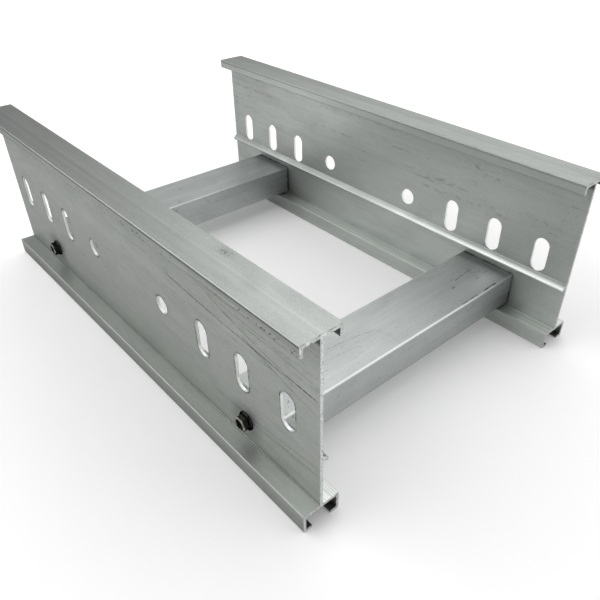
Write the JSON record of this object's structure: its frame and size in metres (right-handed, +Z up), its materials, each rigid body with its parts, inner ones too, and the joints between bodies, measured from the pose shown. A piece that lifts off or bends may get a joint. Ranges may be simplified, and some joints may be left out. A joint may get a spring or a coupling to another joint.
{
  "type": "cable ladder section",
  "caption": "Short section of aluminium cable ladder: two slotted side rails with foot channels, joined by hollow box rungs held with screws.",
  "frame": {"origin": "centre of the footprint: midway between the rails, at half their length, at the level of the undersides of the feet", "axes": "+X along the ladder from its near end to its far end, +Y across it to the left rail, +Z up"},
  "size_m": [0.304, 0.1982, 0.1],
  "materials": {
    "rail_aluminium": "satin",
    "rung_aluminium": "satin",
    "screw_steel": "satin"
  },
  "bodies": {
    "root": {"left_side_rail": "rail_aluminium", "right_side_rail": "rail_aluminium", "near_rung": "rung_aluminium", "far_rung": "rung_aluminium", "near_left_screw": "screw_steel", "near_right_screw": "screw_steel", "far_left_screw": "screw_steel", "far_right_screw": "screw_steel"}
  },
  "joints": []
}
